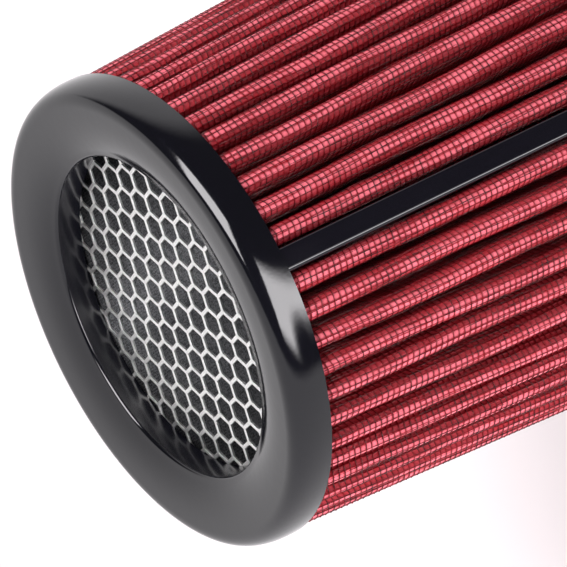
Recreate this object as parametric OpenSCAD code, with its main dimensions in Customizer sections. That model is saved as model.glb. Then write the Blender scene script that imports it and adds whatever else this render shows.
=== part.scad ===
// Cone air filter: a moulded end ring round a hexagon grille, a pleated gauze body held between two
// wire screens, a seam strip over the sheet's joint, and a moulded base with a round neck.
// All sizes are millimetres. The axis is Z. The filter stands on its neck, with the grille end up,
// and z = 0 is the neck's open end. The seam strip faces -Y.

/* [Base and neck] */
// Inner radius of the neck, which slips over the intake pipe
neck_bore_r = 38; // [32:0.5:42]
// Thickness of the neck's wall
neck_wall = 5; // [3.5:0.5:7]
// Length of the neck below the base
neck_len = 28; // [20:1:50]
// How far the bead at the neck's end stands out, which keeps a clamp on
bead_h = 1.2; // [0.6:0.1:2]
// Outer radius of the base
base_r = 76; // [70:0.5:84]
// Height of the base between the neck and the folds
base_h = 14; // [10:1:24]
// Radius of the base's outer lower edge
base_round = 5; // [2:0.5:8]

/* [Pleated body] */
// Free length of the folds between the base and the end ring
body_len = 118; // [90:1:200]
// About how far apart the folds stand at the end ring
fold_pitch = 7.56; // [6.8:0.02:9]
// Depth of the folds, from their tips to the feet of the valleys
fold_depth = 12.8; // [9:0.1:16]
// Thickness of the oiled cotton gauze
gauze_t = 1; // [0.6:0.1:1.3]
// Thickness of each wire screen
screen_t = 0.35; // [0.2:0.05:0.45]
// Gap between two folds, measured across the middle of their round tips
valley_gap = 1.6; // [1:0.1:2]
// Radius of the groove at the foot of each valley
valley_r = 0.7; // [0.4:0.1:0.8]
// How far the fold tips lie inside the end ring's edge
ring_lip = 0.5; // [0.2:0.1:2]
// How far the fold tips lie inside the base's edge
base_lip = 1.2; // [0.5:0.1:3]
// How far single folds wander from even spacing, in degrees
fold_wander = 0.5; // [0:0.1:0.6]
// How far single folds sink below the others
fold_sink = 0.5; // [0:0.1:0.8]

/* [Seam strip] */
// Wall thickness of the strip's legs
strip_wall = 1.3; // [1:0.05:1.6]
// Thickness of the strip's outer face
strip_top = 1; // [0.8:0.1:1.4]
// Radius of the strip's outer edges
strip_round = 0.9; // [0.4:0.1:1]
// Gap between the strip and the folds beside it
strip_gap = 0.15; // [0.1:0.05:0.5]

/* [End ring] */
// Outer radius of the end ring at its rear edge
ring_r = 65; // [62:0.5:72]
// Height of the ring from its rear face to its crown
ring_h = 9.9; // [8:0.1:14]
// How far the opening's edge lies below the crown
ring_dish = 3.3; // [2:0.1:5]
// Width of the round-over from the crown to the ring's side
ring_round = 5; // [3:0.5:8]
// Radius of the opening's edge
opening_round = 1.2; // [0.4:0.1:1.5]
// Thickness of the collar's wall behind the face
collar_wall = 2.2; // [1.6:0.1:2.6]
// Thickness of the lip under the collar's groove
collar_lip = 1.5; // [1:0.1:2.5]

/* [Grille and its backing] */
// Depth of the grille below the opening's edge
grille_depth = 7.8; // [6:0.1:10]
// How far the discs reach into the collar's groove
groove = 2.2; // [1.4:0.1:2.6]
// Thickness of the grille's sheet
grille_t = 0.6; // [0.4:0.1:1.6]
// Distance between the middles of two holes
hex_pitch = 7.26; // [6:0.02:9]
// Width of the web between two holes
hex_web = 1.1; // [0.8:0.05:2]
// Turn of the hole pattern about the axis, in degrees
hex_turn = 12; // [0:1:59]
// Shift of the hole pattern along X
hex_shift_x = -2.7; // [-4:0.1:4]
// Shift of the hole pattern along Y
hex_shift_y = 0.3; // [-4:0.1:4]
// Thickness of the fine wire cloth behind the grille
cloth_t = 0.5; // [0.3:0.1:1]
// Thickness of the gauze pad behind the cloth
pad_t = 3; // [2:0.5:5]

/* [Clearances] */
// Gap between a disc's edge and the groove, and between the folds and the collar
seat_gap = 0.1; // [0.05:0.05:0.2]

/* [Hidden] */

// Levels along the axis
body_z = neck_len + base_h;
ring_z = body_z + body_len;
edge_z = ring_z + ring_h - ring_dish;
grille_z = edge_z - grille_depth;
cloth_z = grille_z - grille_t;
pad_z = cloth_z - cloth_t;
pad_screen_z = pad_z - pad_t;
groove_z = pad_screen_z - screen_t;
collar_z = groove_z - collar_lip;

// The folded sheet: all its layers, and the radii of its tips and feet at the ring (0) and the base (1)
sheet_t = gauze_t + 2 * screen_t;
fold_slack = 0.05;
folds = round(2 * PI * ring_r / fold_pitch);
tip_r = [ring_r - ring_lip, base_r - base_lip];
foot_r = [tip_r[0] - fold_depth, tip_r[1] - fold_depth];
level_z = [ring_z, body_z];
ridge_steps = 4;
valley_steps = 2;
seam_angle = -90;

// The seam strip grips the sheet's two ends, pressed together in the fold beneath it
seam_ridge_r = sheet_t + fold_slack;
strip_inner = seam_ridge_r + seat_gap / 2;
strip_w = 2 * (strip_inner + strip_wall);
strip_leg = seam_ridge_r;
lean = atan((tip_r[1] - tip_r[0]) / body_len);

// The strip's two neighbours stand close to it, and the other folds share the rest of the turn
seam_space = asin((strip_w / 2 + strip_gap) / (tip_r[0] - strip_top - strip_leg))
           + asin(plain_ridge_r(0) / (tip_r[0] - plain_ridge_r(0)));
fold_space = (360 - 2 * seam_space) / (folds - 2);

// The collar fills the space within the valleys. It holds the discs and leaves the opening
collar_r = foot_r[0] - valley_r - sheet_t - seat_gap;
groove_r = collar_r - collar_wall;
opening_r = groove_r - groove;
disc_r = groove_r - seat_gap;
grille_rim_r = opening_r + groove / 4;

big = 4 * max(base_r, ring_z);
smooth = 120;
neck_r = neck_bore_r + neck_wall;
lead_in = 1;
mouth_r = 4;
bead_len = 3.5;

// Points of an arc about [x, y], from angle a to angle b
function arc(x, y, r, a, b, steps) =
    [for (i = [0 : steps]) let (t = a + (b - a) * i / steps) [x + r * cos(t), y + r * sin(t)]];

// A number between -1 and 1 that differs from fold to fold and from end to end
function sway(i, e) = 0.6 * sin(97 * i + 40 * e) + 0.4 * sin(151 * i - 70 * e);

// Radius of a round tip that leaves the valley gap beside it
function plain_ridge_r(e) = (PI * tip_r[e] / folds - valley_gap / 2) / (1 + PI / folds);

// Fold 0 lies under the seam strip, as low as the strip needs. It and its neighbours don't wander
function is_seam(i) = i % folds == 0;
function beside_seam(i) = i == 1 || i == folds - 1;
function fold_angle(i, e) =
    is_seam(i) ? seam_angle
               : seam_angle + seam_space + fold_space * (i - 1)
                 + (beside_seam(i) ? 0 : fold_wander * sway(i, e));
function fold_tip(i, e) =
    is_seam(i) ? tip_r[e] - strip_top - seat_gap / 2
               : tip_r[e] - fold_sink * (1 + sway(3 * i, e)) / 2;
function ridge_r(i, e) = is_seam(i) ? seam_ridge_r : plain_ridge_r(e);

// A point x across and y out from a fold's middle line, which lies at the given angle
function fold_point(angle, x, y, z) =
    [y * cos(angle) - x * sin(angle), y * sin(angle) + x * cos(angle), z];

// The round tip of fold i and the groove after it, at depth d under the sheet's outer skin
function tip_points(i, e, d) =
    let (r = ridge_r(i, e), middle = fold_tip(i, e) - r)
    [for (k = [0 : ridge_steps])
        let (t = 180 * k / ridge_steps - 90)
        fold_point(fold_angle(i, e), (r - d) * sin(t), middle + (r - d) * cos(t), level_z[e])];
function foot_points(i, e, d) =
    let (angle = (fold_angle(i, e) + fold_angle(i + 1, e) + (i == folds - 1 ? 360 : 0)) / 2)
    [for (k = [0 : valley_steps])
        let (t = 180 * k / valley_steps - 90)
        fold_point(angle, (valley_r + d) * sin(t), foot_r[e] - (valley_r + d) * cos(t), level_z[e])];

// One closed outline of the folded sheet, at end e and depth d
function fold_loop(e, d) =
    [for (i = [0 : folds - 1]) for (p = concat(tip_points(i, e, d), foot_points(i, e, d))) p];

// The two triangles of a four-cornered face. The split is turned on a layer's inner skin, so that it
// matches the outer skin of the layer beneath and the two lie flush
function halves(q, turned) =
    turned ? [[q[1], q[2], q[3]], [q[1], q[3], q[0]]] : [[q[0], q[1], q[2]], [q[0], q[2], q[3]]];

// A layer of the folded sheet between two depths, as one closed shell
module folded_layer(outer_d, inner_d) {
    loops = [fold_loop(1, outer_d), fold_loop(0, outer_d), fold_loop(0, inner_d), fold_loop(1, inner_d)];
    n = len(loops[0]);
    points = [for (ring = loops) for (p = ring) p];
    faces = [for (k = [0 : 3]) for (i = [0 : n - 1])
                let (j = (i + 1) % n, m = (k + 1) % 4)
                for (triangle = halves([k * n + i, m * n + i, m * n + j, k * n + j], k == 2))
                triangle];
    polyhedron(points = points, faces = faces, convexity = 10);
}

module outer_screen() {
    color([0.45, 0.05, 0.1]) folded_layer(0, screen_t);
}

module pleated_gauze() {
    color([0.85, 0.18, 0.25]) folded_layer(screen_t, screen_t + gauze_t);
}

module inner_screen() {
    color([0.55, 0.55, 0.57]) folded_layer(screen_t + gauze_t, sheet_t);
}

// Cross-section of the strip: a channel with rounded outer edges, its mouth towards the axis
module strip_section() {
    difference() {
        union() {
            translate([-strip_w / 2, -strip_leg]) square([strip_w, strip_leg + strip_top - strip_round]);
            translate([strip_round - strip_w / 2, 0]) square([strip_w - 2 * strip_round, strip_top]);
            for (side = [-1, 1])
                translate([side * (strip_w / 2 - strip_round), strip_top - strip_round])
                    circle(r = strip_round, $fn = smooth);
        }
        translate([-strip_inner, -2 * strip_leg]) square([2 * strip_inner, 2 * strip_leg]);
    }
}

// The strip runs down the cone, trimmed square by the ring's rear face and the base's top face
module seam_strip() {
    color([0.05, 0.05, 0.06])
        intersection() {
            translate([0, -(tip_r[0] - strip_top), ring_z])
                rotate([180 - lean, 0, 0])
                    translate([0, 0, -body_len])
                        linear_extrude(height = 3 * body_len) strip_section();
            translate([-big / 2, -big / 2, body_z]) cube([big, big, body_len]);
        }
}

// How much of its dish the ring's face has risen, at a share of the way from the opening to the crown
function face_rise(share) = 0.6 * (1 - pow(1 - share, 3)) + 0.4 * share;

// Half section of the ring: dished face, full round-over, and a collar with a groove for the discs
function ring_outline() =
    let (crown_r = ring_r - ring_round, face_r = opening_r + opening_round, steps = 10, fullness = 0.8)
    concat(
        [[opening_r, grille_z]],
        arc(face_r, edge_z - opening_round, opening_round, 180, 105, 5),
        [for (i = [1 : steps]) let (share = i / steps)
            [face_r + (crown_r - face_r) * share, edge_z + ring_dish * face_rise(share)]],
        [for (i = [1 : steps]) let (t = 90 * i / steps)
            [crown_r + ring_round * pow(sin(t), fullness), ring_z + ring_h * pow(cos(t), fullness)]],
        [[collar_r, ring_z], [collar_r, collar_z], [opening_r, collar_z],
         [opening_r, groove_z], [groove_r, groove_z], [groove_r, grille_z]]);

module end_ring() {
    color([0.06, 0.06, 0.08]) rotate_extrude($fn = smooth) polygon(ring_outline());
}

// Sheet with hexagonal holes on a triangular grid, cut off by a narrow plain rim
module hex_grille() {
    rows = ceil(grille_rim_r / (hex_pitch * cos(30))) + 1;
    hole_r = (hex_pitch - hex_web) / sqrt(3);
    along = hex_pitch * [cos(hex_turn), sin(hex_turn)];
    across = hex_pitch * [cos(hex_turn + 60), sin(hex_turn + 60)];
    color([0.85, 0.85, 0.86])
        translate([0, 0, cloth_z])
            linear_extrude(height = grille_t)
                difference() {
                    circle(r = disc_r, $fn = smooth);
                    intersection() {
                        circle(r = grille_rim_r, $fn = smooth);
                        for (i = [-rows : rows], j = [-rows : rows])
                            let (middle = [hex_shift_x, hex_shift_y] + i * along + j * across)
                            if (norm(middle) < grille_rim_r + hole_r)
                                translate(middle) rotate(hex_turn + 30) circle(r = hole_r, $fn = 6);
                    }
                }
}

// A plain disc that fits the collar's groove
module disc(z, thickness) {
    translate([0, 0, z]) cylinder(r = disc_r, h = thickness, $fn = smooth);
}

module backing_cloth() {
    color([0.3, 0.3, 0.3]) disc(pad_z, cloth_t);
}

module gauze_pad() {
    color([0.8, 0.2, 0.25]) disc(pad_screen_z, pad_t);
}

module pad_screen() {
    color([0.55, 0.55, 0.57]) disc(groove_z, screen_t);
}

// Half section of the base: neck with a bead and a lead-in, flange, and a rounded mouth inside
function base_outline() =
    let (steps = 6, bead_r = neck_r + bead_h, fillet = 2, top_round = 0.8)
    concat(
        [[neck_bore_r, lead_in], [neck_bore_r + lead_in, 0]],
        arc(bead_r - bead_h, bead_h, bead_h, -90, 0, steps),
        [[bead_r, bead_len - bead_h / 2], [neck_r, bead_len + bead_h / 2]],
        arc(neck_r + fillet, neck_len - fillet, fillet, 180, 90, steps),
        arc(base_r - base_round, neck_len + base_round, base_round, -90, 0, steps),
        arc(base_r - top_round, body_z - top_round, top_round, 0, 90, 3),
        arc(neck_bore_r + mouth_r, body_z - mouth_r, mouth_r, 90, 180, steps));

module base() {
    color([0.07, 0.07, 0.08]) rotate_extrude($fn = smooth) polygon(base_outline());
}

end_ring();
hex_grille();
backing_cloth();
gauze_pad();
pad_screen();
outer_screen();
pleated_gauze();
inner_screen();
seam_strip();
base();
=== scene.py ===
# %% [markdown]
# # A cone air filter, step by step
# The filter stands on its neck. A gloss black moulded ring holds a silver grille at the top, and a folded
# sheet of red cotton gauze between two wire screens makes the body. Everything made below is laid over
# that model, in metres.

# %% Load the frame
import math
import bmesh
import bpy
import numpy as np
from mathutils import Matrix, Vector


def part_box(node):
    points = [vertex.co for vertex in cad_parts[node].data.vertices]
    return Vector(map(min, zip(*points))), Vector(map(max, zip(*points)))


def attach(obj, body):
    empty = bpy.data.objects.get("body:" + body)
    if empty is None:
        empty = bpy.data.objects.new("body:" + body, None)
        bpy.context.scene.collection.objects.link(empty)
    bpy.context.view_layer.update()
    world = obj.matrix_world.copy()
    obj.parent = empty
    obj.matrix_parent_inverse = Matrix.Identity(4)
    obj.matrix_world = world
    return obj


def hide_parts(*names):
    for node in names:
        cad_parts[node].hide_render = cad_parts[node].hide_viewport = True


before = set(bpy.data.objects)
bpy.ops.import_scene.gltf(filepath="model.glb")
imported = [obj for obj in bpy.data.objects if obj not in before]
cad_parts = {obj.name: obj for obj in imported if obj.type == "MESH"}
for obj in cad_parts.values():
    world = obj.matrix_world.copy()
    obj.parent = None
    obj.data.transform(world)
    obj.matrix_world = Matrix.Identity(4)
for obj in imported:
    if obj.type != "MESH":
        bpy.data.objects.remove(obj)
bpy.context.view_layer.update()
MM = 0.001

# %% [markdown]
# ## Measures
# Levels and outer radii are read from the loaded model, so they can't drift from it. Sizes that a box
# doesn't give, such as how round the ring's edge is, are named once, in millimetres.

# %% Measures of the real filter
_, base_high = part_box("base")
ring_low, ring_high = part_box("end_ring")
grille_low, grille_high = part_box("hex_grille")
_, cloth_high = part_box("backing_cloth")
_, pad_screen_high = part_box("pad_screen")

BODY_Z = base_high[2] / MM
RING_R = ring_high[1] / MM
BASE_R = base_high[0] / MM
CROWN_Z = ring_high[2] / MM
GRILLE_TOP_Z = grille_high[2] / MM
COLLAR_Z = ring_low[2] / MM
DISC_R = grille_high[0] / MM

RING_H = 9.9
RING_DISH = 3.3
RING_ROUND = 5.0
OPENING_R = 44.8
OPENING_ROUND = 1.2
GROOVE_R = 47.0
COLLAR_R = 49.2
COLLAR_LIP = 1.5
RING_Z = CROWN_Z - RING_H
EDGE_Z = CROWN_Z - RING_DISH
BODY_LEN = RING_Z - BODY_Z
print(f"body {BODY_LEN:.1f} mm long, ring {2 * RING_R:.1f} mm across, opening edge at {EDGE_Z:.1f} mm")

# %% [markdown]
# ## Camera
# The photo looks at the ring from the front and above, with the camera rolled so that the filter seems to
# lie on its side. A long lens, about 160 mm, keeps the far end nearly as large as the near one. The
# place, distance and roll were fitted to the ring's outlines, the grille's holes and the folds.

# %% Place the camera
LENS_MM = 158.7
TARGET_MM = Vector((-5.4, -39.4, 149.1))
DISTANCE_MM = 616.6
VIEW_AZIMUTH = 1.30
VIEW_ELEVATION = 28.50
VIEW_ROLL = -116.2


def camera_rotation(azimuth, elevation, roll):
    """Turns a camera that looks along +Y to the given view, then rolls it about its own line of sight."""
    a, e = math.radians(azimuth), math.radians(elevation)
    back = Vector((math.sin(a) * math.cos(e), -math.cos(a) * math.cos(e), math.sin(e)))
    upright = (-back).to_track_quat("-Z", "Y").to_matrix()
    return back, upright @ Matrix.Rotation(math.radians(roll), 3, "Z")


camera = bpy.data.objects.new("camera", bpy.data.cameras.new("camera"))
bpy.context.scene.collection.objects.link(camera)
bpy.context.scene.camera = camera
camera.data.lens = LENS_MM
camera.data.clip_end = 20.0
back, rotation = camera_rotation(VIEW_AZIMUTH, VIEW_ELEVATION, VIEW_ROLL)
camera.matrix_world = Matrix.Translation((TARGET_MM + back * DISTANCE_MM) * MM) @ rotation.to_4x4()
bpy.context.scene.view_settings.view_transform = "Standard"
print("camera at", [round(v, 3) for v in camera.matrix_world.translation])

# %% [markdown]
# ## Helpers for materials
# Colours are written the way a paint chart gives them, as sRGB hex values, and one function turns them
# into the linear light that shaders work in. The others give a node its inputs, add a node with its
# settings and inputs, and start a new material.

# %% Colour and node helpers
def srgb(code, alpha=1.0):
    """A hex colour such as "#c01020" as linear red, green, blue and alpha."""
    parts = [int(code[k:k + 2], 16) / 255 for k in (1, 3, 5)]
    return (*[p / 12.92 if p <= 0.04045 else ((p + 0.055) / 1.055) ** 2.4 for p in parts], alpha)


def connect(tree, node, **inputs):
    """Sets inputs to values or links them to sockets. Each is named, with _ for a space, or is a _number."""
    for name, value in inputs.items():
        socket = node.inputs[int(name[1:])] if name[0] == "_" else node.inputs[name.replace("_", " ")]
        if isinstance(value, bpy.types.NodeSocket):
            tree.links.new(value, socket)
        else:
            socket.default_value = value


def add(tree, kind, settings=None, **inputs):
    """Adds a node, sets its own properties and connects its inputs."""
    node = tree.nodes.new(kind)
    for name, value in (settings or {}).items():
        setattr(node, name, value)
    connect(tree, node, **inputs)
    return node


def new_material(name):
    """An empty node tree with a Principled shader on its output."""
    material = bpy.data.materials.new(name)
    material.use_nodes = True
    tree = material.node_tree
    tree.nodes.clear()
    shader = add(tree, "ShaderNodeBsdfPrincipled")
    add(tree, "ShaderNodeOutputMaterial", Surface=shader.outputs["BSDF"])
    return material, tree, shader


print("red gauze in linear light:", [round(v, 3) for v in srgb("#ee7684")[:3]])

# %% [markdown]
# ## Helpers for meshes
# Most of this object is too regular to model by hand, and too fine for modifiers. Each piece is worked
# out as an array of points, which is fast, and then handed to Blender as a mesh.

# %% Mesh helpers
def make_piece(name, points, faces, material, replaces=(), smooth=True):
    """Makes a mesh piece from points in millimetres and lets it ride on the filter."""
    mesh = bpy.data.meshes.new(name)
    faces = np.asarray(faces, dtype=np.int32)
    count, corners = faces.shape
    mesh.vertices.add(len(points))
    mesh.vertices.foreach_set("co", (np.asarray(points, dtype=np.float32) * MM).ravel())
    mesh.loops.add(count * corners)
    mesh.loops.foreach_set("vertex_index", faces.ravel())
    mesh.polygons.add(count)
    mesh.polygons.foreach_set("loop_start", np.arange(0, count * corners, corners, dtype=np.int32))
    mesh.polygons.foreach_set("use_smooth", np.full(count, smooth))
    mesh.update(calc_edges=True)
    mesh.validate()
    mesh.materials.append(material)
    piece = bpy.data.objects.new(name, mesh)
    bpy.context.scene.collection.objects.link(piece)
    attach(piece, "root")
    if replaces:
        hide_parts(*replaces)
    print(f"{name}: {len(points)} points, {count * (corners - 2)} triangles")
    return piece


def grid_faces(rows, columns, start=0, wrap_rows=False, wrap_columns=True):
    """Four-cornered faces over a grid of points, closed on itself along either way if asked."""
    r = np.arange(rows if wrap_rows else rows - 1)[:, None]
    c = np.arange(columns if wrap_columns else columns - 1)[None, :]
    r2, c2 = (r + 1) % rows, (c + 1) % columns
    quads = np.stack([r * columns + c, r * columns + c2, r2 * columns + c2, r2 * columns + c], axis=-1)
    return quads.reshape(-1, 4) + start


print("a tube of 3 rings with 4 points each has", len(grid_faces(3, 4)), "faces")

# %% [markdown]
# ## The folded sheet
# The real body is a flat sandwich of wire screen, gauze and wire screen that a machine creases into
# zigzag folds and bends into a cone. A cloth simulation could fold it, but the folds are set by the
# tooling, so a formula is closer: round tips outside, narrow feet inside, straight flanks between. A
# point is named by its fold, by how far it lies along the sheet from one tip to the next, and by its
# depth under the outer skin. The same formula places the gauze and every wire.

# %% Measures of the folds
FOLDS = 54
GAUZE_T = 1.0
SCREEN_T = 0.35
VALLEY_GAP = 1.6
VALLEY_R = 0.7
FOLD_WANDER = 0.5
FOLD_SINK = 0.5
STRIP_WALL = 1.3
STRIP_TOP = 1.0
STRIP_ROUND = 0.9
STRIP_GAP = 0.15
SEAT_GAP = 0.1
FOLD_SLACK = 0.05
SHEET_T = GAUZE_T + 2 * SCREEN_T
TIP_R = (RING_R - 0.5, BASE_R - 1.2)
FOOT_R0 = COLLAR_R + SEAT_GAP + SHEET_T + VALLEY_R
FOOT_R = (FOOT_R0, TIP_R[1] - TIP_R[0] + FOOT_R0)
SEAM_TURN = -90.0
SEAM_RIDGE_R = SHEET_T + FOLD_SLACK
STRIP_INNER = SEAM_RIDGE_R + SEAT_GAP / 2
STRIP_W = 2 * (STRIP_INNER + STRIP_WALL)


def plain_ridge_r(end):
    """Radius of a round tip that leaves the valley gap beside it."""
    return (math.pi * TIP_R[end] / FOLDS - VALLEY_GAP / 2) / (1 + math.pi / FOLDS)


SEAM_SPACE = math.degrees(math.asin((STRIP_W / 2 + STRIP_GAP) / (TIP_R[0] - STRIP_TOP - SEAM_RIDGE_R))
                          + math.asin(plain_ridge_r(0) / (TIP_R[0] - plain_ridge_r(0))))
FOLD_SPACE = (360 - 2 * SEAM_SPACE) / (FOLDS - 2)
print(f"{FOLDS} folds, {FOLD_SPACE:.2f} degrees apart, but {SEAM_SPACE:.2f} degrees beside the seam")

# %% [markdown]
# ## The outline at one end
# No two folds are alike, because the sheet gives a little as it is bent round. Two waves with odd periods
# set each fold slightly aside and slightly low, the same way in every run. Another function walks
# along the outline, round a tip, down to the foot and up to the next tip, and finds points on the way.

# %% The outline at one end
def sway(i, end):
    """A number between -1 and 1 that differs from fold to fold and from end to end."""
    return 0.6 * np.sin(np.radians(97 * i + 40 * end)) + 0.4 * np.sin(np.radians(151 * i - 70 * end))


def fold_facts(end):
    """Angle, tip radius and ridge radius of every fold, and of fold 0 again after the last."""
    i = np.arange(FOLDS + 1)
    seam = i % FOLDS == 0
    still = seam | (i == 1) | (i == FOLDS - 1)
    angle = SEAM_TURN + SEAM_SPACE + FOLD_SPACE * (i - 1) + np.where(still, 0, FOLD_WANDER * sway(i, end))
    angle = np.where(seam, SEAM_TURN + 360 * (i // FOLDS), angle)
    sunk = TIP_R[end] - FOLD_SINK * (1 + sway(3 * i, end)) / 2
    tip = np.where(seam, TIP_R[end] - STRIP_TOP - SEAT_GAP / 2, sunk)
    return np.radians(angle), tip, np.where(seam, SEAM_RIDGE_R, plain_ridge_r(end))


def around(angle, x, y):
    """A point x across and y out from a fold's middle line."""
    return np.stack([y * np.cos(angle) - x * np.sin(angle), y * np.sin(angle) + x * np.cos(angle)], axis=-1)


def fold_outline(end, depth, shares):
    """Outline points at one end: for each fold, the points at these shares of the way to the next tip."""
    angle, tip, ridge = fold_facts(end)
    half = np.radians(np.linspace(0, 90, 13))
    foot = np.radians(np.linspace(-90, 90, 9))
    result = np.empty((FOLDS, len(shares), 2))
    for i in range(FOLDS):
        r, r2 = ridge[i] - depth, ridge[i + 1] - depth
        g = VALLEY_R + depth
        down = around(angle[i], r * np.sin(half), tip[i] - ridge[i] + r * np.cos(half))
        bottom = around((angle[i] + angle[i + 1]) / 2, g * np.sin(foot), FOOT_R[end] - g * np.cos(foot))
        up = around(angle[i + 1], -r2 * np.cos(half), tip[i + 1] - ridge[i + 1] + r2 * np.sin(half))
        path = np.concatenate([down, bottom, up])
        walked = np.concatenate([[0], np.cumsum(np.linalg.norm(np.diff(path, axis=0), axis=1))])
        at = np.asarray(shares) * walked[-1]
        result[i] = np.stack([np.interp(at, walked, path[:, 0]), np.interp(at, walked, path[:, 1])], axis=-1)
    return result, walked[-1]


SHEET_WIDTH = FOLDS * fold_outline(0, SHEET_T / 2, [0.0])[1]
print(f"the flat sheet is {SHEET_WIDTH:.0f} mm wide")

# %% [markdown]
# ## Points on the sheet, and its wires
# Between its two ends the sheet runs straight down the cone, but for a slight bend that carries the
# tips sideways. The folds beside the seam are held by the strip and stay straight. Woven wire wanders as
# well. The gauze and the wires use the same drift, so each pillow stays between its wires.

# %% Points on the sheet
TIP_BEND = 0.35
BEND_WAVES = 1.3
BEND_REACH = 8


def sheet_points(levels, shares, depth):
    """Points of the sheet at the given levels (0 at the ring, 1 at the base), one row for each level."""
    shares = np.asarray(shares)
    (top, _), (bottom, _) = fold_outline(0, depth, shares), fold_outline(1, depth, shares)
    v = np.asarray(levels)[:, None, None, None]
    flat = top[None] * (1 - v) + bottom[None] * v
    turn = np.arctan2(flat[..., 1], flat[..., 0])
    radius = np.linalg.norm(flat, axis=-1)
    fold = (np.arange(FOLDS)[:, None] + (shares[None, :] >= 0.5)) % FOLDS
    loose = np.where((fold <= 1) | (fold == FOLDS - 1), 0.0, 1.0)
    reach = np.clip((radius - FOOT_R[0] - v[..., 0] * (FOOT_R[1] - FOOT_R[0])) / BEND_REACH, 0, 1)
    bend = (TIP_BEND * np.sin(math.pi * v[..., 0])
            * np.sin(2 * math.pi * BEND_WAVES * v[..., 0] + 2.4 * fold))
    turn = turn + loose * reach * bend / radius
    z = RING_Z - v[..., 0] * BODY_LEN + 0 * radius
    points = np.stack([radius * np.cos(turn), radius * np.sin(turn), z], axis=-1)
    return points.reshape(len(levels), -1, 3)


def drift(u, v):
    """How far wires wander, in wire spacings, at u wires along the sheet and v wires from the ring."""
    return (0.16 * np.sin(0.21 * v + 0.9 * u) + 0.10 * np.sin(0.37 * v - 2.3 * u),
            0.20 * np.sin(0.55 * u + 0.05 * v) + 0.12 * np.sin(1.31 * u - 0.11 * v))


most = max(float(np.abs(part).max()) for part in drift(*np.mgrid[0:40:0.5, 0:60:0.5]))
print(f"wires wander by up to {most:.2f} of their spacing")

# %% [markdown]
# ## Material: oiled cotton gauze
# The medium is several layers of open cotton gauze, dyed red and wetted with a tacky oil. Pressed between
# the screens it bulges a little through every opening of the wire, so each square is a small pillow with
# a soft oily shine. The pillows are far too small to model one by one, so their height comes from two sine
# waves that count wires along and across the sheet. The same height paints shade into the colour: paler on
# a pillow's top, deep red where it dips under the wires. Only at the tip of a fold is the gauze stretched
# tight against the wires. On the flanks it lies loose and deeper, and its colour there is darkened to a deep
# red as painted shade. A cosine of the count of wires across is 1 at a tip, and tells the two apart. The
# threads themselves are about 0.25 mm apart. They are drawn at 0.35 mm, just coarse enough to show.

# %% Oiled cotton gauze
WIRES_PER_FOLD = 20
WIRE_PITCH = 1.71
THREAD_PITCH = 0.35
PATCH_SIZE = 9
PILLOW_SWELL = 0.45
LOOSE_BELOW = 0.9
TIGHT_ABOVE = 0.995
LOOSE_PAINTED_SHADE = 0.16


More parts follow.
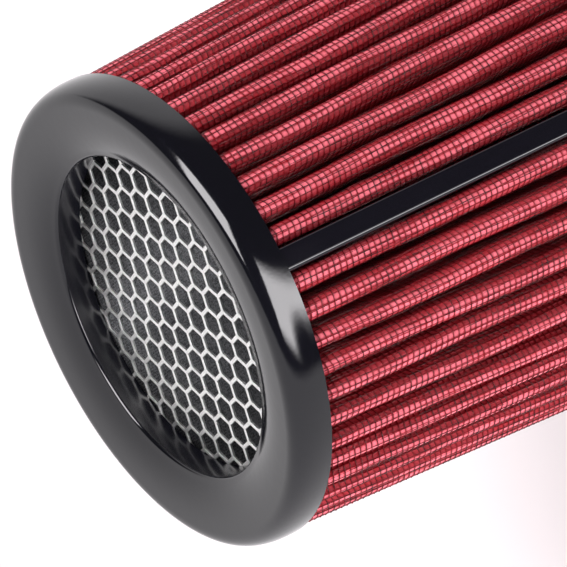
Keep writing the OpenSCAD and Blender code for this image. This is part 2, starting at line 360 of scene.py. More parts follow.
def oiled_cotton_gauze(name, light, shaded_red, pillow):
    material, tree, shader = new_material(name)
    uv = add(tree, "ShaderNodeUVMap", {"uv_map": "wires"})
    xyz = add(tree, "ShaderNodeSeparateXYZ", _0=uv.outputs[0])
    waves = []
    for axis in (0, 1):
        turn = add(tree, "ShaderNodeMath", {"operation": "MULTIPLY"}, _0=xyz.outputs[axis], _1=math.pi)
        wave = add(tree, "ShaderNodeMath", {"operation": "SINE"}, _0=turn.outputs[0])
        waves.append(add(tree, "ShaderNodeMath", {"operation": "ABSOLUTE"}, _0=wave.outputs[0]))
    both = add(tree, "ShaderNodeMath", {"operation": "MULTIPLY"}, _0=waves[0].outputs[0],
               _1=waves[1].outputs[0])
    round_top = add(tree, "ShaderNodeMath", {"operation": "POWER"}, _0=both.outputs[0], _1=PILLOW_SWELL)
    cell = add(tree, "ShaderNodeVectorMath", {"operation": "FLOOR"}, _0=uv.outputs[0])
    chance = add(tree, "ShaderNodeTexWhiteNoise", {"noise_dimensions": "2D"}, Vector=cell.outputs[0])
    fill = add(tree, "ShaderNodeMapRange", _0=chance.outputs["Value"], _3=0.75, _4=1.15)
    puff = add(tree, "ShaderNodeMath", {"operation": "MULTIPLY"}, _0=round_top.outputs[0], _1=fill.outputs[0])
    place = add(tree, "ShaderNodeTexCoord")
    patches = add(tree, "ShaderNodeTexNoise", Vector=place.outputs["Object"], Scale=1 / (PATCH_SIZE * MM),
                  Detail=3.0)
    lint = add(tree, "ShaderNodeTexNoise", Vector=place.outputs["Object"], Scale=1 / (THREAD_PITCH * MM),
               Detail=2.0, Roughness=0.7)
    tone = add(tree, "ShaderNodeMath", {"operation": "MULTIPLY_ADD"}, _0=lint.outputs["Fac"], _1=0.5,
               _2=puff.outputs[0])
    shade = add(tree, "ShaderNodeMath", {"operation": "MULTIPLY_ADD"}, _0=patches.outputs["Fac"], _1=0.3,
                _2=tone.outputs[0])
    # Painted shade: deep red where a pillow dips under the wires, pale pink on its top, with random tone from
    # the noise.
    ramp = add(tree, "ShaderNodeMapRange", _0=shade.outputs[0], _1=0.6, _2=1.25)
    # Painted shade on the flanks: away from a fold's tip the colour is pulled down towards the deep red.
    turn = add(tree, "ShaderNodeMath", {"operation": "MULTIPLY"}, _0=xyz.outputs[0],
               _1=2 * math.pi / WIRES_PER_FOLD)
    lean = add(tree, "ShaderNodeMath", {"operation": "COSINE"}, _0=turn.outputs[0])
    painted_flank_shade = add(tree, "ShaderNodeMapRange", _0=lean.outputs[0], _1=LOOSE_BELOW, _2=TIGHT_ABOVE,
                _3=LOOSE_PAINTED_SHADE, _4=1.0)
    ramp = add(tree, "ShaderNodeMath", {"operation": "MULTIPLY"}, _0=ramp.outputs[0], _1=painted_flank_shade.outputs[0])
    colour = add(tree, "ShaderNodeMix", {"data_type": "RGBA"}, _0=ramp.outputs[0], _6=srgb(shaded_red),
                 _7=srgb(light))
    height = add(tree, "ShaderNodeMath", {"operation": "MULTIPLY_ADD"}, _0=lint.outputs["Fac"], _1=0.25,
                 _2=puff.outputs[0])
    bump = add(tree, "ShaderNodeBump", Strength=1.0, Distance=pillow * MM, Height=height.outputs[0])
    connect(tree, shader, Base_Color=colour.outputs[2], Normal=bump.outputs[0], Roughness=0.42, IOR=1.47,
            Specular_IOR_Level=0.14, Sheen_Weight=0.05, Sheen_Roughness=0.4, Sheen_Tint=srgb("#ff9aa4"))
    return material


# ee7684 is the pale pink of lit pillow tops, #8e0612 the red of the painted shade.
gauze_material = oiled_cotton_gauze("oiled cotton gauze", "#ee7684", "#8e0612", 0.7)
print("gauze thread spacing drawn at", THREAD_PITCH, "mm")

# %% [markdown]
# ## The pleated gauze
# One closed shell, a millimetre thick, follows the folds. Its texture coordinates aren't unwrapped: they
# are written from the formula, and count wires along and across the sheet, so the pillows always fall
# between the wires that are laid on later.

# %% Build the pleated gauze
GAUZE_SHARES = 28
GAUZE_LEVELS = 28
SKIN_DEPTH = 0.3


def fold_shell(outer, inner, shares, levels):
    """A closed shell between two depths of the sheet."""
    v, s = np.linspace(0, 1, levels), np.arange(shares) / shares
    outside, inside = sheet_points(v, s, outer), sheet_points(v[::-1], s, inner)
    rows = np.concatenate([outside, inside])
    columns = rows.shape[1]
    return rows.reshape(-1, 3), grid_faces(2 * levels, columns, wrap_rows=True), columns


gauze_points, gauze_faces, gauze_columns = fold_shell(SKIN_DEPTH, SCREEN_T + GAUZE_T, GAUZE_SHARES,
                                                      GAUZE_LEVELS)
gauze = make_piece("pleated_gauze_sheet", gauze_points, gauze_faces, gauze_material,
                   ["pleated_gauze"])


def write_wire_counts(piece, columns, shares):
    """Texture coordinates: how many wires a corner lies from the seam, and from the ring."""
    mesh = piece.data
    corner = np.empty(len(mesh.loops), dtype=np.int32)
    mesh.loops.foreach_get("vertex_index", corner)
    z = np.empty(len(mesh.vertices) * 3, dtype=np.float32)
    mesh.vertices.foreach_get("co", z)
    u = (corner % columns).astype(float).reshape(-1, 4)
    last = (u == 0) & (u.max(axis=1, keepdims=True) == columns - 1)
    u = np.where(last, columns, u).ravel() * WIRES_PER_FOLD / shares
    v = (RING_Z - z.reshape(-1, 3)[corner, 2] / MM) / WIRE_PITCH
    aside, along = drift(u, v)
    u, v = u - aside, v - along
    layer = mesh.uv_layers.new(name="wires")
    layer.data.foreach_set("uv", np.stack([u, v], axis=-1).astype(np.float32).ravel())


write_wire_counts(gauze, gauze_columns, GAUZE_SHARES)

# %% [markdown]
# ## Material: epoxy-coated wire
# The screen is woven from thin aluminium wire and dipped in epoxy. The red oil has run over the black coat,
# and the gauze's red glow on it is painted into its colour too, so it is a very dark red. The coat is smooth,
# so each wire carries one thin highlight. At this scale that shine matters more than any scratch, so only the
# colour varies.

# %% Coated and bare wire
def coated_wire(name, colour, dark, roughness, metallic=0.0, patch=2.5):
    material, tree, shader = new_material(name)
    place = add(tree, "ShaderNodeTexCoord")
    film = add(tree, "ShaderNodeTexNoise", Vector=place.outputs["Object"], Scale=1 / (patch * MM), Detail=2.0)
    ramp = add(tree, "ShaderNodeMapRange", _0=film.outputs["Fac"], _1=0.4, _2=0.6)
    mix = add(tree, "ShaderNodeMix", {"data_type": "RGBA"}, _0=ramp.outputs[0], _6=srgb(dark),
              _7=srgb(colour))
    connect(tree, shader, Base_Color=mix.outputs[2], Roughness=roughness, Metallic=metallic)
    return material


# Its dark red is partly oil and partly a painted red glow from the gauze.
screen_material = coated_wire("epoxy-coated wire", "#7c0a16", "#34060a", 0.25)
inner_wire_material = coated_wire("bare aluminium wire", "#b9bbbf", "#8d8f94", 0.38, metallic=1.0)
cloth_material = coated_wire("blackened steel wire", "#707174", "#26272a", 0.4, metallic=0.6, patch=0.5)
print("wire materials:", screen_material.name, inner_wire_material.name, cloth_material.name)

# %% [markdown]
# ## The outer wire screen
# This is what gives the body its grain. Wires run along every fold and round all of them. They could be
# drawn with a bump map, but real wires catch the light and shade the gauze. Curves with a bevel would
# do as well, but so many are slow to fill in. One function makes thin four-sided rods along all rows of
# points at once.

# %% Rods along rows of points
def directions(points, deeper):
    """Unit vectors that point out of the sheet, away from the same points a little deeper."""
    out = points - deeper
    out /= np.linalg.norm(out, axis=-1, keepdims=True)
    return out


def rods(lines, out, side, radius, closed):
    """Four-sided rods along rows of points, with their cross-sections given by two directions."""
    count, length, _ = lines.shape
    corners = [lines + radius * out, lines + radius * side, lines - radius * out, lines - radius * side]
    ring = np.stack(corners, axis=2)
    steps = np.arange(length if closed else length - 1)
    near, far = steps[:, None] * 4, (steps[:, None] + 1) % length * 4
    k = np.arange(4)
    k2 = (k + 1) % 4
    one = np.stack([near + k, near + k2, far + k2, far + k], axis=-1).reshape(-1, 4)
    if not closed:
        end = (length - 1) * 4
        one = np.concatenate([one, [[3, 2, 1, 0], [end, end + 1, end + 2, end + 3]]])
    faces = (one[None] + np.arange(count)[:, None, None] * length * 4).reshape(-1, 4)
    return ring.reshape(-1, 3), faces


wire_space = SHEET_WIDTH / FOLDS / WIRES_PER_FOLD
print(f"lengthwise wires {wire_space:.2f} mm apart, hoops {WIRE_PITCH} mm apart")

# %% [markdown]
# ## Lengthwise wires and hoops
# The lengthwise wires follow the folds. The hoop wires lie just over them, and are made in bands, so that
# no single piece grows too heavy. In the photo the hoops measure 1.71 mm apart, and the lengthwise
# wires about 1.46 mm. Each wire also strays a little from its line, by seeded random amounts.

# %% Build the wire screen
WIRE_R = 0.105
LONG_DEPTH = 0.28
HOOP_DEPTH = 0.14
HOOP_SHARES = np.array([0, 0.05, 0.10, 0.15, 0.25, 0.36, 0.44, 0.5, 0.56, 0.64, 0.75, 0.85, 0.90, 0.95])
HOOP_BANDS = 3
END_GAP = 0.002
PROBE = 0.1
LONG_STRAY = 0.05
HOOP_STRAY = 0.07
rng = np.random.default_rng(7)


def long_wires(name, depth, per_fold, levels, radius, material, replaces=()):
    v = np.linspace(END_GAP, 1 - END_GAP, levels)
    s = np.arange(per_fold) / per_fold
    lines = sheet_points(v, s, depth).transpose(1, 0, 2)
    out = directions(lines, sheet_points(v, s, depth + PROBE).transpose(1, 0, 2))
    along = np.gradient(lines, axis=1)
    side = np.cross(out, along)
    side /= np.linalg.norm(side, axis=-1, keepdims=True)
    u = np.arange(len(lines))[:, None] * WIRES_PER_FOLD / per_fold
    aside, _ = drift(u, v[None, :] * BODY_LEN / WIRE_PITCH)
    loose = rng.normal(0, LONG_STRAY, aside.shape) - aside * wire_space
    lines = lines + loose[..., None] * side
    points, faces = rods(lines, out, side, radius, closed=False)
    return make_piece(name, points, faces, material, replaces)


def hoop_wires(name, depth, levels, shares, radius, material, replaces=()):
    lines = sheet_points(levels, shares, depth)
    out = directions(lines, sheet_points(levels, shares, depth + PROBE))
    side = np.zeros_like(lines)
    side[..., 2] = 1.0
    u = (np.arange(FOLDS)[:, None] + np.asarray(shares)[None, :]).ravel() * WIRES_PER_FOLD
    _, along = drift(u[None, :], levels[:, None] * BODY_LEN / WIRE_PITCH)
    lines[..., 2] += rng.normal(0, HOOP_STRAY, along.shape) - along * WIRE_PITCH
    points, faces = rods(lines, out, side, radius, closed=True)
    return make_piece(name, points, faces, material, replaces)


long_wires("screen_long_wires", LONG_DEPTH, WIRES_PER_FOLD, 19, WIRE_R, screen_material,
           ["outer_screen"])
hoop_levels = np.arange(1, int(BODY_LEN / WIRE_PITCH)) * WIRE_PITCH / BODY_LEN
for number, band in enumerate(np.array_split(hoop_levels, HOOP_BANDS), start=1):
    hoop_wires(f"screen_hoop_wires_{number}", HOOP_DEPTH, band, HOOP_SHARES, WIRE_R, screen_material,
               ["outer_screen"])

# %% [markdown]
# ## The inner wire screen
# The same folds have a bare wire screen on the clean side, which shows through the neck. It is seen only
# at an angle and in shade, so every second wire is enough.

# %% Build the inner screen
INNER_DEPTH = SHEET_T - 0.2
long_wires("inner_long_wires", INNER_DEPTH, WIRES_PER_FOLD // 2, 6, WIRE_R, inner_wire_material,
           ["inner_screen"])
hoop_wires("inner_hoop_wires", INNER_DEPTH + 0.1, hoop_levels[::2], HOOP_SHARES[::2], WIRE_R,
           inner_wire_material, ["inner_screen"])

# %% [markdown]
# ## Material: gloss moulded plastic
# The ring and the seam strip come from polished moulds. Black gloss plastic has almost no colour of its
# own: the eye sees the studio mirrored in it, grey on the flat face and black and white on the edge. Its
# IOR is about 1.5. A very faint, wide ripple, as moulding shrinkage leaves, keeps the reflections from
# looking drawn with a ruler, and faint wipe marks change the gloss here and there. The steep wall of the
# ring's recess is harder to polish in the mould, so it mirrors the grille only as a soft smudge.

# %% Gloss moulded plastic
WALL_ROUGHNESS = 0.2
WALL_FADE = (0.03, 0.15)


def gloss_moulding(name, colour, roughness, ripple_mm, wipe=0.08, wall_r=0.0):
    """Black plastic with faint marks. Out to radius wall_r it is duller, with the gloss back just beyond."""
    material, tree, shader = new_material(name)
    place = add(tree, "ShaderNodeTexCoord")
    marks = add(tree, "ShaderNodeTexNoise", Vector=place.outputs["Object"], Scale=1 / (14 * MM), Detail=5.0)
    gloss = add(tree, "ShaderNodeMapRange", _0=marks.outputs["Fac"], _1=0.35, _2=0.75, _3=roughness,
                _4=roughness + wipe)
    level = add(tree, "ShaderNodeVectorMath", {"operation": "MULTIPLY"}, _0=place.outputs["Object"],
                _1=(1, 1, 0))
    radius = add(tree, "ShaderNodeVectorMath", {"operation": "LENGTH"}, _0=level.outputs[0])
    wall = add(tree, "ShaderNodeMapRange", _0=radius.outputs["Value"], _1=(wall_r + WALL_FADE[0]) * MM,
               _2=(wall_r + WALL_FADE[1]) * MM, _3=WALL_ROUGHNESS, _4=0.0)
    gloss = add(tree, "ShaderNodeMath", {"operation": "MAXIMUM"}, _0=gloss.outputs[0], _1=wall.outputs[0])
    ripple = add(tree, "ShaderNodeTexNoise", Vector=place.outputs["Object"], Scale=1 / (3 * MM), Detail=3.0)
    bump = add(tree, "ShaderNodeBump", Strength=1.0, Distance=ripple_mm * MM, Height=ripple.outputs["Fac"])
    fine = add(tree, "ShaderNodeTexNoise", Vector=place.outputs["Object"], Scale=1 / (0.9 * MM), Detail=2.0)
    bump = add(tree, "ShaderNodeBump", Strength=1.0, Distance=ripple_mm * MM / 7, Height=fine.outputs["Fac"],
               Normal=bump.outputs[0])
    connect(tree, shader, Base_Color=srgb(colour), Roughness=gloss.outputs[0], Normal=bump.outputs[0],
            IOR=1.52)
    return material


ring_material = gloss_moulding("gloss black moulded plastic", "#0c0c12", 0.06, 0.02, wall_r=OPENING_R)
strip_material = gloss_moulding("gloss black strip plastic", "#0f0e15", 0.04, 0.005, wipe=0.03)
print("gloss plastics:", ring_material.name, strip_material.name)

# %% [markdown]
# ## A lathe
# Round mouldings are drawn as half a section and spun about the axis. Their roundings are arcs. The
# Screw modifier would do the same, but this way the points go straight to the mesh helper.

# %% Lathe and arc
def lathe(outline, steps):
    """Spins a closed outline of (radius, height) points about the axis."""
    turn = np.linspace(0, 2 * np.pi, steps, endpoint=False)
    r, z = np.array(outline).T
    points = np.stack([r[:, None] * np.cos(turn), r[:, None] * np.sin(turn),
                       np.repeat(z[:, None], steps, axis=1)], axis=-1)
    return points.reshape(-1, 3), grid_faces(len(r), steps, wrap_rows=True)[:, ::-1]


def arc(x, y, r, a, b, steps):
    """Points of an arc about (x, y) from angle a to b, in degrees."""
    t = np.radians(np.linspace(a, b, steps + 1))
    return [(x + r * math.cos(v), y + r * math.sin(v)) for v in t]


print("a quarter arc of 10 mm ends at", [round(v, 3) for v in arc(0, 0, 10, 0, 90, 4)[-1]])

# %% [markdown]
# ## The end ring
# The ring was moulded round, so it is spun here from half its section, as on a lathe. Its face dips
# towards the opening, rises to a crown and rolls over to the side in one full curve. That curve
# decides where every reflection lies, so it has many points.

# %% Spin the end ring
ROLL_FULLNESS = 0.8
FACE_CURVE = 0.6


def ring_outline():
    """The ring's closed section: opening edge, face, rolled side, collar and the grille's groove."""
    crown_r, face_r, steps = RING_R - RING_ROUND, OPENING_R + OPENING_ROUND, 24
    t = np.radians(np.linspace(0, 90, steps + 1)[1:])
    share = np.linspace(0, 1, steps + 1)[1:]
    face_rise = FACE_CURVE * (1 - (1 - share) ** 3) + (1 - FACE_CURVE) * share
    rise = list(zip(face_r + (crown_r - face_r) * share, EDGE_Z + RING_DISH * face_rise))
    roll = list(zip(crown_r + RING_ROUND * np.sin(t) ** ROLL_FULLNESS,
                    RING_Z + RING_H * np.maximum(np.cos(t), 0) ** ROLL_FULLNESS))
    groove_z = COLLAR_Z + COLLAR_LIP
    inside = [(COLLAR_R, RING_Z), (COLLAR_R, COLLAR_Z), (OPENING_R, COLLAR_Z), (OPENING_R, groove_z),
              (GROOVE_R, groove_z), (GROOVE_R, GRILLE_TOP_Z), (OPENING_R, GRILLE_TOP_Z)]
    edge = arc(face_r, EDGE_Z - OPENING_ROUND, OPENING_ROUND, 180, 105, 8)
    return edge + rise + roll + inside


ring_points, ring_faces = lathe(ring_outline(), 360)
ring = make_piece("end_ring_moulding", ring_points, ring_faces, ring_material, ["end_ring"])


def sharpen(piece, degrees):
    """Keeps edges steeper than the angle crisp, and the rest smooth."""
    piece.data.set_sharp_from_angle(angle=math.radians(degrees))


sharpen(ring, 35)

# %% [markdown]
# ## Material: satin aluminium sheet
# The grille is punched from thin aluminium sheet that has been etched. Etched metal mirrors its
# surroundings as a soft blur, so it looks nearly white where it faces the white side of the studio. A
# fine grain breaks the blur up a little.

# %% Satin aluminium sheet
def etched_sheet(name, pale, grey):
    material, tree, shader = new_material(name)
    place = add(tree, "ShaderNodeTexCoord")
    grain = add(tree, "ShaderNodeTexNoise", Vector=place.outputs["Object"], Scale=1 / (0.5 * MM), Detail=3.0)
    ramp = add(tree, "ShaderNodeMapRange", _0=grain.outputs["Fac"], _1=0.3, _2=0.7)
    mix = add(tree, "ShaderNodeMix", {"data_type": "RGBA"}, _0=ramp.outputs[0], _6=srgb(grey), _7=srgb(pale))
    bump = add(tree, "ShaderNodeBump", Strength=0.4, Distance=0.03 * MM, Height=grain.outputs["Fac"])
    connect(tree, shader, Base_Color=mix.outputs[2], Normal=bump.outputs[0], Metallic=1.0, Roughness=0.4)
    return material


grille_material = etched_sheet("satin aluminium sheet", "#f2f2f0", "#dadad8")
print("grille:", grille_material.name)

# %% [markdown]
# ## The hexagon grille
# A punch leaves a slightly rolled edge on each hole, which is what glints. The CAD sheet has sharp edges,
# so the grille is built again, cell by cell, with a small chamfer round each hole. The cells share
# their outer corners and join into one sheet, which is then cut to a disc.

# %% Build the grille
HEX_PITCH = 7.26
HEX_WEB = 1.1
HEX_TURN = 12.0
HEX_SHIFT = np.array([-2.7, 0.3])
HEX_EDGE = 0.12
HEX_REACH = 9
TRIM_SIDES = 48


def hex_corners(middle, radius, z):
    """The six corners of a hexagon, turned as the grille is turned in the ring."""
    turn = np.radians(HEX_TURN + 30 + 60 * np.arange(6))
    x, y = middle[0] + radius * np.cos(turn), middle[1] + radius * np.sin(turn)
    return np.column_stack([x, y, np.full(6, z)])


def grille_cell(middle, top, bottom):
    """One cell: its web's top and bottom, a chamfer round the hole, and the hole's wall."""
    outer, inner = HEX_PITCH / math.sqrt(3), (HEX_PITCH - HEX_WEB) / math.sqrt(3)
    steps = [(outer, bottom), (inner, bottom), (inner, top - HEX_EDGE),
             (inner + HEX_EDGE * 0.4, top - HEX_EDGE * 0.3), (inner + HEX_EDGE * 1.3, top), (outer, top)]
    return np.concatenate([hex_corners(middle, r, z) for r, z in steps]), grid_faces(len(steps), 6)


def build_grille():
    """All cells within the disc, welded and then trimmed to it by a ring of cutting planes."""
    turn = np.radians([HEX_TURN, HEX_TURN + 60])
    along, across = HEX_PITCH * np.array([np.cos(turn), np.sin(turn)]).T
    points, faces, start = [], [], 0
    for i in range(-HEX_REACH, HEX_REACH + 1):
        for j in range(-HEX_REACH, HEX_REACH + 1):
            middle = HEX_SHIFT + i * along + j * across
            if np.linalg.norm(middle) < DISC_R + HEX_PITCH:
                p, f = grille_cell(middle, GRILLE_TOP_Z, grille_low[2] / MM)
                points.append(p)
                faces.append(f + start)
                start += len(p)
    grille = make_piece("hexagon_grille", np.concatenate(points), np.concatenate(faces), grille_material,
                        ["hex_grille"], smooth=False)
    shape = bmesh.new()
    shape.from_mesh(grille.data)
    bmesh.ops.remove_doubles(shape, verts=shape.verts, dist=0.01 * MM)
    bmesh.ops.recalc_face_normals(shape, faces=shape.faces)
    for step in range(TRIM_SIDES):
        a = 2 * math.pi * step / TRIM_SIDES
        normal = Vector((math.cos(a), math.sin(a), 0))
        everything = shape.verts[:] + shape.edges[:] + shape.faces[:]
        bmesh.ops.bisect_plane(shape, geom=everything, plane_co=normal * DISC_R * MM, plane_no=normal,
                               clear_outer=True)
    bmesh.ops.holes_fill(shape, edges=[e for e in shape.edges if e.is_boundary], sides=0)
    shape.to_mesh(grille.data)
    shape.free()
    print("grille faces after trimming:", len(grille.data.polygons))


build_grille()

# %% [markdown]
# ## Backing cloth and pad screen
# Behind the grille lies a fine dark wire cloth. Its wires are straight rods laid both ways, 0.8 mm apart.
# The real cloth is about twice as fine, which the picture could not show. A coarser bare screen closes
# the pad of gauze on the clean side.

# %% Build the flat screens
CLOTH_PITCH = 0.8
CLOTH_WIRE_R = 0.15
PAD_PITCH = 1.8
PAD_WIRE_R = 0.13


def flat_screen(name, top, radius, pitch, wire_r, material, replaces, turn):
    """Straight wires both ways across a disc, one layer on the other."""
    place = np.arange(-radius + pitch, radius - pitch / 2, pitch)
    half = np.sqrt(radius ** 2 - place ** 2)
    lines, sides = [], []
    for layer, z in enumerate((top - wire_r, top - 2.6 * wire_r)):
        along = np.radians(turn + 90 * layer)
        a, b = np.array([np.cos(along), np.sin(along)]), np.array([-np.sin(along), np.cos(along)])
        for p, h in zip(place, half):
            lines.append([[*(p * b - h * a), z], [*(p * b + h * a), z]])
            sides.append([[*b, 0.0], [*b, 0.0]])
    lines, sides = np.array(lines), np.array(sides)
    out = np.zeros_like(lines)
    out[..., 2] = 1.0
    points, faces = rods(lines, out, sides, wire_r, closed=False)
    return make_piece(name, points, faces, material, replaces)


flat_screen("backing_wire_cloth", cloth_high[2] / MM, DISC_R, CLOTH_PITCH, CLOTH_WIRE_R, cloth_material,
            ["backing_cloth"], HEX_TURN - 8)
flat_screen("pad_wire_screen", pad_screen_high[2] / MM, DISC_R, PAD_PITCH, PAD_WIRE_R, inner_wire_material,
            ["pad_screen"], 10)

# %% [markdown]
# ## Material: cotton pad
# The pad of gauze between the cloth and its screen hardly shows, so it keeps its CAD disc and only gets
# a soft, felt-like material. It is grey, because the photo shows no red behind the cloth.

# %% Cotton pad
def dry_gauze(name, light, dark):
    material, tree, shader = new_material(name)
    place = add(tree, "ShaderNodeTexCoord")
    lint = add(tree, "ShaderNodeTexNoise", Vector=place.outputs["Object"], Scale=1 / (0.4 * MM), Detail=4.0)
    ramp = add(tree, "ShaderNodeMapRange", _0=lint.outputs["Fac"], _1=0.35, _2=0.65)
    mix = add(tree, "ShaderNodeMix", {"data_type": "RGBA"}, _0=ramp.outputs[0], _6=srgb(dark), _7=srgb(light))
    bump = add(tree, "ShaderNodeBump", Strength=0.8, Distance=0.2 * MM, Height=lint.outputs["Fac"])
    connect(tree, shader, Base_Color=mix.outputs[2], Normal=bump.outputs[0], Roughness=0.9)
    return material


pad_material = dry_gauze("grey cotton pad", "#3a3a3a", "#161616")
for pad_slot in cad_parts["gauze_pad"].material_slots:
    pad_slot.material = pad_material
print("pad:", pad_material.name)

# %% [markdown]
# ## The seam strip
# The sheet's two ends are pressed together in one narrow fold and gripped by a black channel, as long as
# the body. It is drawn as one cross-section carried straight from the ring to the base. The outer edges
# are rounded, and the lower one carries the thin white highlight that the photo shows. A point held close
# to each rounding keeps the shading of the flat face flat.

# %% Build the seam strip
STRIP_HOLD = 0.35


def strip_section():
    """Cross-section, anticlockwise: x across the strip, y out from the fold."""
    w, t, r = STRIP_W / 2, STRIP_TOP, STRIP_ROUND
    right = arc(w - r, t - r, r, 0, 90, 8) + [(w - r - STRIP_HOLD, t)]
    left = [(r - w + STRIP_HOLD, t)] + arc(r - w, t - r, r, 90, 180, 8)
    legs = [(-w, -SEAM_RIDGE_R), (-STRIP_INNER, -SEAM_RIDGE_R), (-STRIP_INNER, 0), (STRIP_INNER, 0),
            (STRIP_INNER, -SEAM_RIDGE_R), (w, -SEAM_RIDGE_R)]
    return np.array(right + left + legs)


def build_strip():
    section, rows = strip_section(), 9
    points = []
    for v in np.linspace(0, 1, rows):
        outer = TIP_R[0] - STRIP_TOP + v * (TIP_R[1] - TIP_R[0])
        y = -(outer + section[:, 1])
        points.append(np.column_stack([section[:, 0], y, np.full(len(section), RING_Z - v * BODY_LEN)]))
    points = np.concatenate(points)
    strip = make_piece("seam_strip_channel", points, grid_faces(rows, len(section))[:, ::-1], strip_material,
                       ["seam_strip"])
    shape = bmesh.new()
    shape.from_mesh(strip.data)
    bmesh.ops.holes_fill(shape, edges=[e for e in shape.edges if e.is_boundary], sides=0)
    bmesh.ops.recalc_face_normals(shape, faces=shape.faces)
    shape.to_mesh(strip.data)
    shape.free()
    sharpen(strip, 40)


build_strip()

# %% [markdown]
# ## Material: moulded rubber
# The base must grip a pipe, so it is soft polyurethane rubber. Its mould is spark-eroded, not polished,
# which leaves a fine matt grain that scatters the light. IOR is about 1.5.

# %% Moulded rubber
def moulded_rubber(name, colour, worn):
    material, tree, shader = new_material(name)
    place = add(tree, "ShaderNodeTexCoord")
    grain = add(tree, "ShaderNodeTexNoise", Vector=place.outputs["Object"], Scale=1 / (0.6 * MM), Detail=3.0)
    bloom = add(tree, "ShaderNodeTexNoise", Vector=place.outputs["Object"], Scale=1 / (22 * MM), Detail=4.0)
    ramp = add(tree, "ShaderNodeMapRange", _0=bloom.outputs["Fac"], _1=0.35, _2=0.75)
    mix = add(tree, "ShaderNodeMix", {"data_type": "RGBA"}, _0=ramp.outputs[0], _6=srgb(colour),
              _7=srgb(worn))
    gloss = add(tree, "ShaderNodeMapRange", _0=bloom.outputs["Fac"], _1=0.3, _2=0.7, _3=0.38, _4=0.52)
    bump = add(tree, "ShaderNodeBump", Strength=0.5, Distance=0.05 * MM, Height=grain.outputs["Fac"])
    connect(tree, shader, Base_Color=mix.outputs[2], Roughness=gloss.outputs[0], Normal=bump.outputs[0])
    return material


rubber_material = moulded_rubber("moulded polyurethane rubber", "#141416", "#1e1e21")
print("base:", rubber_material.name)

# %% [markdown]
# ## The base
# The base and its neck are one moulding, spun from half a section like the ring. The neck's bore has a
# lead-in for the pipe, and a bead at its end keeps a clamp from slipping off.

# %% Spin the base
NECK_BORE_R = 38.0
NECK_WALL = 5.0
NECK_LEN = 28.0
BEAD_H = 1.2
BEAD_LEN = 3.5
BASE_ROUND = 5.0
LEAD_IN = 1.0
MOUTH_R = 4.0
FILLET = 2.0
TOP_ROUND = 0.8


def base_outline():
    """The base's closed section, from the neck's bore round the outside and back over the top."""
    neck_r = NECK_BORE_R + NECK_WALL
    return ([(NECK_BORE_R, LEAD_IN), (NECK_BORE_R + LEAD_IN, 0)]
            + arc(neck_r, BEAD_H, BEAD_H, -90, 0, 8)
            + [(neck_r + BEAD_H, BEAD_LEN - BEAD_H / 2), (neck_r, BEAD_LEN + BEAD_H / 2)]
            + arc(neck_r + FILLET, NECK_LEN - FILLET, FILLET, 180, 90, 8)
            + arc(BASE_R - BASE_ROUND, NECK_LEN + BASE_ROUND, BASE_ROUND, -90, 0, 12)
            + arc(BASE_R - TOP_ROUND, BODY_Z - TOP_ROUND, TOP_ROUND, 0, 90, 6)
            + arc(NECK_BORE_R + MOUTH_R, BODY_Z - MOUTH_R, MOUTH_R, 90, 180, 10))


base_points, base_faces = lathe(base_outline(), 240)
base = make_piece("base_and_neck", base_points, base_faces, rubber_material, ["base"])
sharpen(base, 35)

# %% [markdown]
# ## The floor
# The photo was taken in a white studio. The floor is pale and matt, and glows a little for the camera
# alone, so that it ends in white and yet keeps the filter's shadow. The glow is faintly pink: painted red
# light, as the gauze throws on the paper. It is hidden from mirror rays, because the photo's ring shows no
# bright ground under it.

# %% Build the floor
FLOOR_HALF = 3000
FLOOR_GLOW = 0.37


def build_floor():
    """A large square of matt paper under the neck."""
    points = FLOOR_HALF * np.array([[-1, -1, 0], [1, -1, 0], [1, 1, 0], [-1, 1, 0]])
    mesh = bpy.data.meshes.new("studio_floor")
    mesh.from_pydata([tuple(p * MM) for p in points], [], [(0, 1, 2, 3)])
    floor = bpy.data.objects.new("studio_floor", mesh)
    bpy.context.scene.collection.objects.link(floor)
    material, tree, shader = new_material("matt white paper")
    rays = add(tree, "ShaderNodeLightPath")
    glow = add(tree, "ShaderNodeMath", {"operation": "MULTIPLY"}, _0=rays.outputs["Is Camera Ray"],
               _1=FLOOR_GLOW)
    # Painted light: the faint pink of the glow stands in for red light from the gauze.
    connect(tree, shader, Base_Color=srgb("#d2cfd0"), Roughness=0.85, Specular_IOR_Level=0.2,
            Emission_Color=srgb("#fff0f4"), Emission_Strength=glow.outputs[0])
    mesh.materials.append(material)
    floor.visible_glossy = False


build_floor()
print("floor", 2 * FLOOR_HALF * MM, "m across")

# %% [markdown]
# ## The room
# Gloss black plastic shows whatever stands round it. So the world holds a white sweep on one side, a pale
# card low beside it, and two bright soft boxes, each placed where the ring in the photo mirrors one.
# Something dark, perhaps a lamp stand, hides a lower corner of the front box. Only mirror rays see the
# boxes. Other rays get a dim room, and the camera sees plain white.

# %% Build the room
ROOM_FILL = 0.5
DARK_SIDE = 0.04
MIRRORED_DARK_SIDE = 0.06


def toward(azimuth, elevation):
    """A direction as a unit vector: azimuth from +Y towards +X, elevation above the floor."""
    a, e = math.radians(azimuth), math.radians(elevation)
    return math.sin(a) * math.cos(e), math.cos(a) * math.cos(e), math.sin(e)


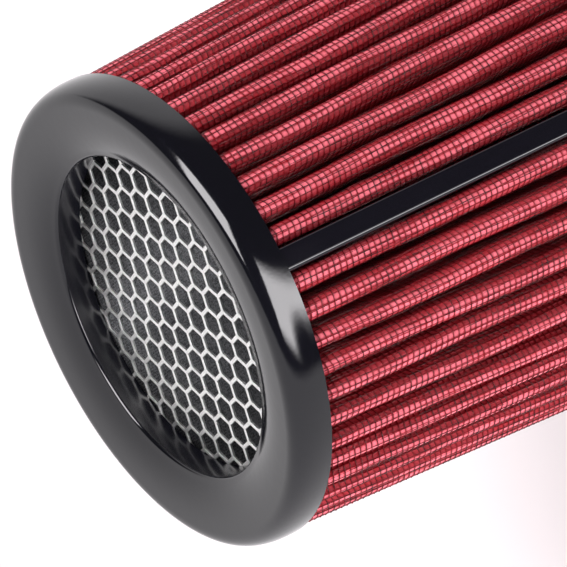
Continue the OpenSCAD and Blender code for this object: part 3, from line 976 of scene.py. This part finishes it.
def add_soft_box(tree, place, azimuth, elevation, half, fade, gain, tilt=0):
    """A bright rectangle, tilted about its direction, with half-angles across and up. Each edge starts to
    fade at a share of its half-angle."""
    middle = Vector(toward(azimuth, elevation))
    across = Matrix.Rotation(math.radians(tilt), 3, middle) @ middle.cross(Vector((0, 0, 1))).normalized()
    ahead = add(tree, "ShaderNodeVectorMath", {"operation": "DOT_PRODUCT"}, _0=place, _1=middle)
    ahead = add(tree, "ShaderNodeMath", {"operation": "MAXIMUM"}, _0=ahead.outputs["Value"], _1=0.001)
    light = gain
    for axis, angle, start in zip((across, across.cross(middle)), half, fade):
        aside = add(tree, "ShaderNodeVectorMath", {"operation": "DOT_PRODUCT"}, _0=place, _1=axis)
        slope = add(tree, "ShaderNodeMath", {"operation": "DIVIDE"}, _0=aside.outputs["Value"],
                    _1=ahead.outputs[0])
        slope = add(tree, "ShaderNodeMath", {"operation": "ABSOLUTE"}, _0=slope.outputs[0])
        edge = math.tan(math.radians(angle))
        part = add(tree, "ShaderNodeMapRange", {"interpolation_type": "SMOOTHSTEP"}, _0=slope.outputs[0],
                   _1=edge * start, _2=edge * 1.06, _3=1.0, _4=0.0)
        light = add(tree, "ShaderNodeMath", {"operation": "MULTIPLY"}, _0=part.outputs[0], _1=light)
        light = light.outputs[0]
    return light


def add_glow(tree, place, direction, spread, gain):
    """A patch of the room that is bright within an angle of a direction, with soft edges."""
    facing = add(tree, "ShaderNodeVectorMath", {"operation": "DOT_PRODUCT"}, _0=place, _1=direction)
    low, high = (math.cos(math.radians(a)) for a in reversed(spread))
    fade = add(tree, "ShaderNodeMapRange", {"interpolation_type": "SMOOTHSTEP"}, _0=facing.outputs["Value"],
               _1=low, _2=high, _3=0.0, _4=gain)
    return fade.outputs[0]


def build_world():
    """A sweep and a card on one side, two soft boxes in the dark on the other, white for the camera."""
    world = bpy.data.worlds.new("studio")
    bpy.context.scene.world = world
    world.use_nodes = True
    tree = world.node_tree
    tree.nodes.clear()
    rays = add(tree, "ShaderNodeLightPath")
    place = add(tree, "ShaderNodeTexCoord").outputs["Generated"]
    sweep = add_glow(tree, place, toward(-43, 3), (84.5, 92), 1.03)
    card = add_glow(tree, place, toward(60, -20), (32, 52), 1.1)
    room = add(tree, "ShaderNodeMath", {"operation": "MAXIMUM"}, _0=sweep, _1=card)
    soft = add(tree, "ShaderNodeMath", {"operation": "MULTIPLY_ADD"}, _0=room.outputs[0], _1=ROOM_FILL,
               _2=DARK_SIDE)
    high_box = add_soft_box(tree, place, 134, 49, (19, 19), (0.8, 0.8), 12.0)
    front_box = add_soft_box(tree, place, -159.3, -5.5, (21.5, 26.3), (0.5, 0.88), 11.0, tilt=-18.5)
    stand = add_glow(tree, place, toward(-141.4, -18), (6.6, 19.4), 1.0)
    free = add(tree, "ShaderNodeMath", {"operation": "SUBTRACT"}, _0=1.0, _1=stand)
    mirrored = add(tree, "ShaderNodeMath", {"operation": "MULTIPLY_ADD"}, _0=front_box, _1=free.outputs[0],
                   _2=room.outputs[0])
    mirrored = add(tree, "ShaderNodeMath", {"operation": "ADD"}, _0=mirrored.outputs[0], _1=high_box)
    glossy = add(tree, "ShaderNodeMath", {"operation": "ADD"}, _0=mirrored.outputs[0],
                 _1=MIRRORED_DARK_SIDE)
    seen = add(tree, "ShaderNodeMix", _0=rays.outputs["Is Glossy Ray"], _2=soft.outputs[0],
               _3=glossy.outputs[0])
    plain = add(tree, "ShaderNodeBackground", Color=(1, 0.975, 0.995, 1), Strength=seen.outputs[0])
    white = add(tree, "ShaderNodeBackground", Color=(1, 1, 1, 1), Strength=1.0)
    mix = add(tree, "ShaderNodeMixShader", _0=rays.outputs["Is Camera Ray"], _1=plain.outputs[0],
              _2=white.outputs[0])
    add(tree, "ShaderNodeOutputWorld", Surface=mix.outputs[0])
    print("world nodes:", len(tree.nodes))


build_world()

# %% [markdown]
# ## The lamps
# Three large area lamps give the light itself, soft as from the boxes of a studio. The strongest is low
# and wide, on the -X side. Like the floor, the lamps are hidden from mirror rays, so that the gloss
# shows only the room.

# %% Build the lamps
PANEL_DISTANCE = 2500
LAMP_AIM_Z = 165


def panel(name, azimuth, elevation, size, power, colour):
    """A soft box: an area lamp with its size in mm, at a direction from the ring and turned to face it."""
    lamp = bpy.data.lights.new(name, "AREA")
    lamp.shape = "RECTANGLE"
    lamp.size, lamp.size_y = size[0] * MM, size[1] * MM
    lamp.energy = power
    lamp.color = colour
    light = bpy.data.objects.new(name, lamp)
    bpy.context.scene.collection.objects.link(light)
    direction = Vector(toward(azimuth, elevation))
    light.location = (Vector((0, 0, LAMP_AIM_Z)) + direction * PANEL_DISTANCE) * MM
    light.rotation_euler = (-direction).to_track_quat("-Z", "Y").to_euler()
    light.visible_glossy = False


panel("key_panel", 126, 40, (1200, 1200), 66, (1.0, 0.97, 0.98))
panel("front_panel", -156, 6, (1500, 700), 14, (1.0, 0.98, 1.0))
panel("side_panel", -98, 13, (2200, 1000), 103, (1.0, 0.97, 0.97))
